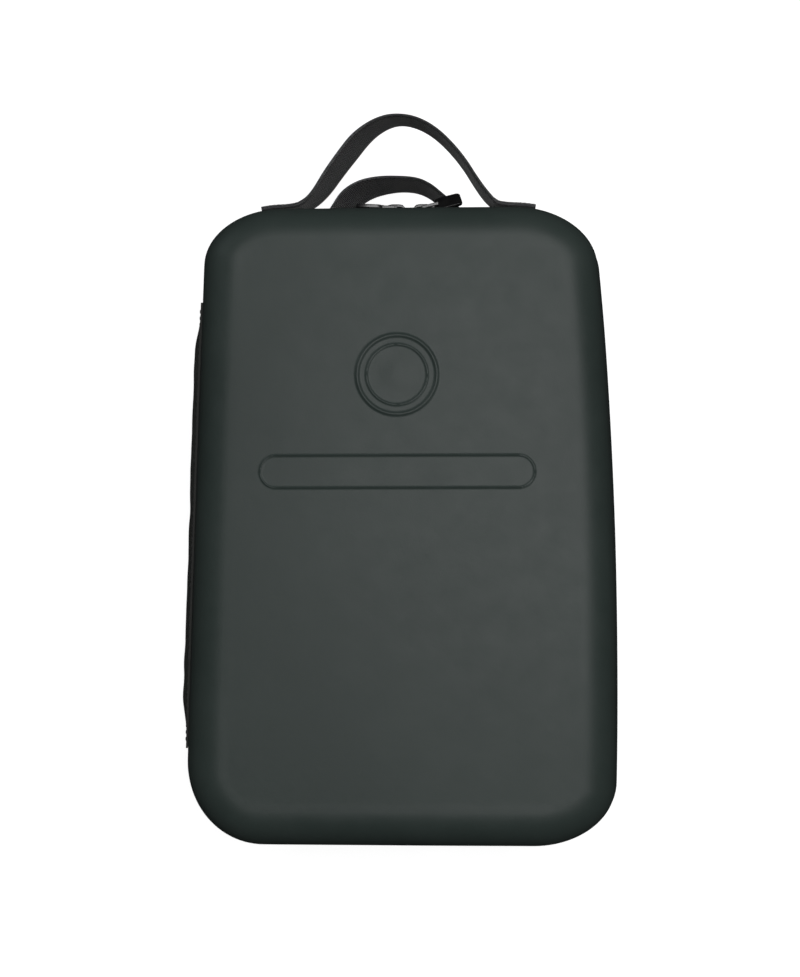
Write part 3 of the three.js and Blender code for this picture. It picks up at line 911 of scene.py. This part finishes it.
def puller_plate(name, middle, facing, lift, roll, look):
    """A fork on a pin and a tapered plate with a sunk panel on both faces."""
    end, half = PULLER_LENGTH, PULLER_HALF_W
    bm = bmesh.new()
    edge = [
        (7, 3.4), (9, 4.8), (12, half), (end - 2, half), (end - 0.6, half - 0.6), (end, half - 2),
    ]
    cast_block(bm, both_sides(edge), -PULLER_HALF_T, PULLER_HALF_T, "y", 0)
    for side in (-1, 1):
        bm.faces.ensure_lookup_table()
        face = max(bm.faces, key=lambda f: f.calc_area() * (f.normal.y * side > 0.9))
        bmesh.ops.inset_region(bm, faces=[face], thickness=1.5, depth=0)
        bmesh.ops.translate(bm, vec=(0, -0.5 * side, 0), verts=face.verts)
    bmesh.ops.recalc_face_normals(bm, faces=bm.faces)
    sharp = [e for e in bm.edges if e.is_manifold and e.calc_face_angle(0) > math.radians(35)]
    bmesh.ops.bevel(bm, geom=sharp, offset=0.28, **CAST_ROUND)
    turn = Matrix.Rotation(math.radians(roll), 3, "X")
    bmesh.ops.rotate(bm, cent=(0, 0, 0), matrix=turn, verts=bm.verts)
    for z in (-PULLER_ARM_Z, PULLER_ARM_Z):
        arm = rectangle(-1.1, 8, 0.8)
        cast_block(bm, arm, z - PULLER_ARM_HALF, z + PULLER_ARM_HALF, "z", 0.3)
    bridge = rectangle(6.6, 8.8, PULLER_HALF_T)
    cast_block(bm, bridge, -PULLER_FORK, PULLER_FORK, "z", 0.3)
    pin = [(PIN_R * math.cos(a), PIN_R * math.sin(a)) for a in np.arange(12) * CIRCLE / 12]
    cast_block(bm, pin, -PULLER_FORK - 0.1, PULLER_FORK + 0.1, "z", 0.1)
    matrix = cast_matrix(middle, PIVOT_OUT, facing, lift)
    obj = from_bmesh(f"{name}_puller_cast", bm, matrix, look)
    ride_as(obj, f"{name}_puller", "zinc", f"{name}_puller")


def zip_stop(where, look):
    """A crimped metal clip over the last coils."""
    node = f"zip_{where}_stop"
    half = (high(node) - low(node)) / 2
    bm = bmesh.new()
    cast_block(bm, rectangle(-half[0], half[0], half[1]), -half[2], half[2], "z", 0.3)
    matrix = Matrix.Translation(low(node) + half)
    obj = from_bmesh(f"{where}_stop_clip", bm, matrix, look)
    ride_as(obj, frame["nodes"][node]["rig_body"], "zinc", node)


# ---- materials ----
class Look:
    """Short calls for building one material's nodes."""

    def __init__(self, name, uses_uv=False):
        self.material = bpy.data.materials.new(name)
        self.material.use_nodes = True
        self.tree = self.material.node_tree
        self.shader = self.tree.nodes["Principled BSDF"]
        coordinates = self.add("ShaderNodeTexCoord")
        self.vector = coordinates.outputs["UV" if uses_uv else "Object"]

    def add(self, kind, values=None, **settings):
        node = self.tree.nodes.new(kind)
        for key, value in settings.items():
            setattr(node, key, value)
        for key, value in (values or {}).items():
            if isinstance(value, bpy.types.NodeSocket):
                self.tree.links.new(value, node.inputs[key])
            else:
                node.inputs[key].default_value = value
        return node

    def noise(self, scale, detail=3.0, roughness=0.5, stretch=None):
        vector = self.vector
        if stretch:
            vector = self.add("ShaderNodeMapping", {"Vector": vector, "Scale": stretch}).outputs[0]
        values = {"Vector": vector, "Scale": scale, "Detail": detail, "Roughness": roughness}
        return self.add("ShaderNodeTexNoise", values).outputs["Fac"]

    def spread(self, value, to_low, to_high, from_low=0.3, from_high=0.7):
        """Stretches a value from one range to another."""
        values = {"Value": value, "From Min": from_low, "From Max": from_high,
                  "To Min": to_low, "To Max": to_high}
        return self.add("ShaderNodeMapRange", values).outputs["Result"]

    def blend(self, value, share, first, second, from_low=0.3, from_high=0.7):
        """A colour that a value takes from the first, (r, g, b) or a socket, towards the second."""
        factor = self.spread(value, 0, share, from_low, from_high)
        first = first if isinstance(first, bpy.types.NodeSocket) else (*first, 1)
        values = {0: factor, 6: first, 7: (*second, 1)}
        return self.add("ShaderNodeMix", values, data_type="RGBA").outputs[2]

    def sum(self, first, second, share):
        values = {0: second, 1: share, 2: first}
        return self.add("ShaderNodeMath", values, operation="MULTIPLY_ADD").outputs[0]

    def weave(self, along, across, thread):
        """Threads laid like bricks. It gives a height that dips between threads, and a number that
        changes from thread to thread."""
        values = {
            "Vector": self.vector, "Scale": 1.0, "Brick Width": along, "Row Height": across,
            "Mortar Size": thread, "Mortar Smooth": 0.6,
            "Color1": (0.35, 0.35, 0.35, 1), "Color2": (0.65, 0.65, 0.65, 1),
        }
        node = self.add("ShaderNodeTexBrick", values, offset=0.5)
        flip = self.add("ShaderNodeMath", {0: 1.0, 1: node.outputs["Fac"]}, operation="SUBTRACT")
        return flip.outputs[0], node.outputs["Color"]

    def bump(self, height, distance, normal=None):
        values = {"Height": height, "Distance": distance, "Strength": 1.0}
        if normal is not None:
            values["Normal"] = normal
        return self.add("ShaderNodeBump", values).outputs[0]

    def finish(self, colour, roughness, normal=None, **more):
        """Fills the shader's sockets, and gives the finished material."""
        values = {"Base Color": colour, "Roughness": roughness, **more}
        if normal is not None:
            values["Normal"] = normal
        for key, value in values.items():
            socket = self.shader.inputs[key.replace("_", " ")]
            if isinstance(value, bpy.types.NodeSocket):
                self.tree.links.new(value, socket)
            else:
                socket.default_value = value
        return self.material


def skin_look():
    """Matte rubberised skin: faint patches, a fine even grain, and slightly uneven gloss."""
    look = Look("rubberised_skin")
    patches = look.noise(9, detail=2)
    mottle = look.noise(70, detail=5, roughness=0.6)
    grain = look.noise(2400, detail=2)
    base = look.blend(patches, 1, (0.033, 0.046, 0.042), (0.040, 0.055, 0.050))
    colour = look.blend(mottle, 0.35, base, (0.048, 0.063, 0.058))
    rough = look.spread(look.sum(mottle, grain, 0.4), 0.42, 0.52, 0.4, 1.0)
    normal = look.bump(grain, 0.00003, look.bump(mottle, 0.00012))
    return look.finish(colour, rough, normal, Specular_IOR_Level=0.36)


def spine_look():
    """Cloth with a rubbery face, showing its weave under the coating."""
    look = Look("faced_cloth", uses_uv=True)
    height, thread = look.weave(0.0011, 0.0006, 0.00014)
    patches = look.noise(60, detail=4)
    colour = look.blend(patches, 1, (0.042, 0.044, 0.041), (0.056, 0.058, 0.054))
    colour = look.blend(thread, 0.3, colour, (0.062, 0.064, 0.06))
    normal = look.bump(height, 0.00006, look.bump(patches, 0.0003))
    rough = look.spread(patches, 0.55, 0.72)
    return look.finish(colour, rough, normal, Specular_IOR_Level=0.3)


def webbing_look():
    """Nylon webbing: ribs of short floats, each thread a little different, with a soft sheen."""
    look = Look("nylon_webbing", uses_uv=True)
    height, thread = look.weave(0.0026, 0.0011, 0.00028)
    fibres = look.noise(900, detail=3, stretch=(0.25, 2.5, 1))
    dark, light = (0.006, 0.0062, 0.007), (0.016, 0.0165, 0.018)
    colour = look.blend(thread, 1, dark, light, 0.35, 0.65)
    colour = look.blend(fibres, 0.4, colour, (0.045, 0.046, 0.05))
    normal = look.bump(fibres, 0.00008, look.bump(height, 0.00025))
    rough = look.spread(fibres, 0.4, 0.6)
    return look.finish(
        colour, rough, normal, Sheen_Weight=0.7, Sheen_Roughness=0.35, Specular_IOR_Level=0.6,
    )


def tape_look():
    """Woven tape with a fine diagonal rib."""
    look = Look("woven_tape", uses_uv=True)
    turned = look.add(
        "ShaderNodeMapping", {"Vector": look.vector, "Rotation": (0, 0, math.radians(35))}
    )
    look.vector = turned.outputs[0]
    height, thread = look.weave(0.0014, 0.0005, 0.00013)
    dark, light = (0.005, 0.005, 0.006), (0.014, 0.014, 0.015)
    fuzz = look.noise(700, detail=4)
    colour = look.blend(thread, 1, dark, light, 0.35, 0.65)
    colour = look.blend(fuzz, 0.3, colour, tuple(2 * c for c in light))
    normal = look.bump(fuzz, 0.00006, look.bump(height, 0.00012))
    rough = look.spread(fuzz, 0.72, 0.92)
    return look.finish(colour, rough, normal, Sheen_Weight=0.15)


def strand_look(name, scale, detail, dark, light, rough, depth, **more):
    """A drawn or twisted strand, a little uneven in colour and gloss."""
    look = Look(name)
    rub = look.noise(scale, detail=detail)
    colour = look.blend(rub, 1, dark, light)
    return look.finish(colour, look.spread(rub, *rough), look.bump(rub, depth), **more)


def enamel_look():
    """Glossy black enamel on cast zinc, faintly clouded and scratched."""
    look = Look("black_enamel")
    cloud = look.noise(260, detail=5)
    scratches = look.noise(1200, detail=2, stretch=(1, 0.06, 1))
    colour = look.blend(cloud, 1, (0.003, 0.003, 0.0035), (0.009, 0.009, 0.0095))
    rough = look.spread(look.sum(cloud, scratches, 0.5), 0.24, 0.42, 0.5, 1.1)
    normal = look.bump(scratches, 0.00001, look.bump(cloud, 0.00003))
    return look.finish(
        colour, rough, normal, Coat_Weight=0.5, Coat_Roughness=0.2, Specular_IOR_Level=0.8,
    )


def lining_look():
    """Brushed knit: a soft nap with loops showing faintly through."""
    look = Look("brushed_knit")
    nap = look.noise(1500, detail=4, roughness=0.7)
    patches = look.noise(25, detail=3)
    colour = look.blend(nap, 1, (0.008, 0.009, 0.010), (0.024, 0.025, 0.027))
    colour = look.blend(patches, 0.35, colour, (0.028, 0.029, 0.031))
    rough = look.spread(nap, 0.85, 0.98)
    normal = look.bump(nap, 0.0002)
    return look.finish(
        colour, rough, normal, Sheen_Weight=0.4, Sheen_Roughness=0.5, Specular_IOR_Level=0.2,
    )


def foam_look():
    """Cut closed-cell foam, pitted with fine cells, with painted shade darkening each pit."""
    look = Look("closed_cell_foam")
    voronoi = look.add("ShaderNodeTexVoronoi", {"Vector": look.vector, "Scale": 1100.0})
    cell_pits_and_painted_shade = voronoi.outputs["Distance"]
    patches = look.noise(30, detail=4)
    # painted shade: the cells' pits are coloured darker, the deeper the darker
    colour = look.blend(cell_pits_and_painted_shade, 1, (0.014, 0.015, 0.017), (0.032, 0.034, 0.038), 0.1, 0.7)
    colour = look.blend(patches, 0.4, colour, (0.034, 0.036, 0.04))
    normal = look.bump(cell_pits_and_painted_shade, 0.00018, look.bump(patches, 0.0003))
    rough = look.spread(patches, 0.8, 0.92)
    return look.finish(colour, rough, normal, Specular_IOR_Level=0.3)


def floor_look():
    """Plain pale paper, lit so brightly that only faint shadows show on it."""
    look = Look("pale_paper")
    fleck = look.noise(40, detail=3)
    colour = look.blend(fleck, 1, (0.5, 0.5, 0.5), (0.55, 0.55, 0.55))
    return look.finish(
        colour, 0.9, Specular_IOR_Level=0.1, Emission_Color=(1, 1, 1, 1), Emission_Strength=0.85,
    )


# ---- the case ----
skin = skin_look()
spine_cloth = spine_look()
webbing = webbing_look()
tape = tape_look()
knit = lining_look()
thread = strand_look(
    "sewing_thread", 2200, 2, (0.016, 0.017, 0.018), (0.04, 0.041, 0.043), (0.5, 0.7), 0.0001,
    Sheen_Weight=0.3,
)
coil = strand_look(
    "nylon_coil", 300, 4, (0.008, 0.008, 0.009), (0.02, 0.02, 0.021), (0.2, 0.42), 0.00003,
    Specular_IOR_Level=0.55,
)
enamel = enamel_look()
foam = foam_look()

for half in (FRONT, REAR):
    shell(half, skin)
    lining(half, knit)
    rim_binding(half, tape)
    foam_cradle(half, foam)
    zip_tape(half, tape)
    zip_coil(half, coil)
    rim_stitches("rim", half, ZIP_START, PERIMETER, 0.35, GROOVE_HEIGHT, "skin", thread)
    spine_start, spine_end = (spine_arc(side * (SPINE_HALF - 3)) for side in (-1, 1))
    off_wall = GAP + SPINE_CLOTH + 0.1
    rim_stitches("spine", half, spine_start, spine_end, -off_wall, 4.2, "spine", thread)

spine_sheet(
    "spine_cloth_outer", SPINE_BULGE, GAP, SPINE_CLOTH, wrinkle=0.7, slot="spine",
    node="spine_cloth", look=spine_cloth,
)
spine_sheet(
    "spine_cloth_inner", -WALL - 1.6, -WALL - 1.2, SPINE_LINING, wrinkle=0.3, slot="lining",
    node="spine_lining", look=knit,
)

for handle in (FRONT_HANDLE, REAR_HANDLE):
    handle.make(webbing)
    handle.stitching(thread)
    backing = frame["nodes"][f"{handle.half.name}_handle_backing"]
    backing.data.materials.clear()
    backing.data.materials.append(knit)

for name, facing, lift, roll in (("left", -1, 2, 0), ("right", 1, 14, 50)):
    node = f"{name}_slider"
    middle = (low(node)[0] + high(node)[0]) / 2
    slider_body(name, node, middle, facing, enamel)
    puller_plate(name, middle, facing, lift, roll, enamel)
for where in ("top", "bottom"):
    zip_stop(where, enamel)


# ---- camera, floor and light ----
def add_camera():
    """The camera at the photograph's angle, almost straight above the case's face."""
    camera = bpy.data.cameras.new("camera")
    camera.lens = 49.5
    camera.sensor_width = 36
    obj = add_object("camera", camera)
    place, target = Vector((24, -33, 800)) * MM, Vector((0, 19.9, 50)) * MM
    ahead = (target - place).normalized()
    right = ahead.cross(Vector((0, 1, 0))).normalized()
    up = right.cross(ahead)
    turn = Matrix((right, up, -ahead)).transposed().to_4x4()
    obj.matrix_world = Matrix.Translation(place) @ turn
    bpy.context.scene.camera = obj


def add_floor():
    size = 30
    mesh = bpy.data.meshes.new("floor")
    corners = [(-size, -size, 0), (size, -size, 0), (size, size, 0), (-size, size, 0)]
    mesh.from_pydata(corners, [], [(0, 1, 2, 3)])
    mesh.materials.append(floor_look())
    floor = add_object("floor", mesh)
    floor.visible_diffuse = False
    floor.visible_glossy = False


def add_light(name, place, size, energy, colour=(1, 1, 1)):
    light = bpy.data.lights.new(name, "AREA")
    light.shape = "DISK"
    light.size = size
    light.energy = energy
    light.color = colour
    obj = add_object(name, light)
    obj.location = place
    obj.rotation_euler = (Vector((0, 0, 0.05)) - Vector(place)).to_track_quat("-Z", "Y").to_euler()


def add_world():
    """A dim even sky with a paler band along the horizon."""
    world = bpy.data.worlds.new("soft_room")
    bpy.context.scene.world = world
    world.use_nodes = True
    nodes, links = world.node_tree.nodes, world.node_tree.links
    coordinates = nodes.new("ShaderNodeTexCoord")
    split = nodes.new("ShaderNodeSeparateXYZ")
    fade = nodes.new("ShaderNodeMapRange")
    band = {"From Min": 0.06, "From Max": 0.25, "To Min": 0.4, "To Max": 0.08}
    for key, value in band.items():
        fade.inputs[key].default_value = value
    links.new(coordinates.outputs["Generated"], split.inputs[0])
    links.new(split.outputs["Z"], fade.inputs["Value"])
    links.new(fade.outputs["Result"], nodes["Background"].inputs["Strength"])


add_camera()
add_floor()
add_light("overhead", (0.34, 0.28, 1.9), 1.75, 24)
add_light("side", (-1.2, 1.0, 0.8), 0.8, 1.6, (0.92, 0.96, 1))
add_world()
bpy.context.scene.view_settings.view_transform = "Standard"
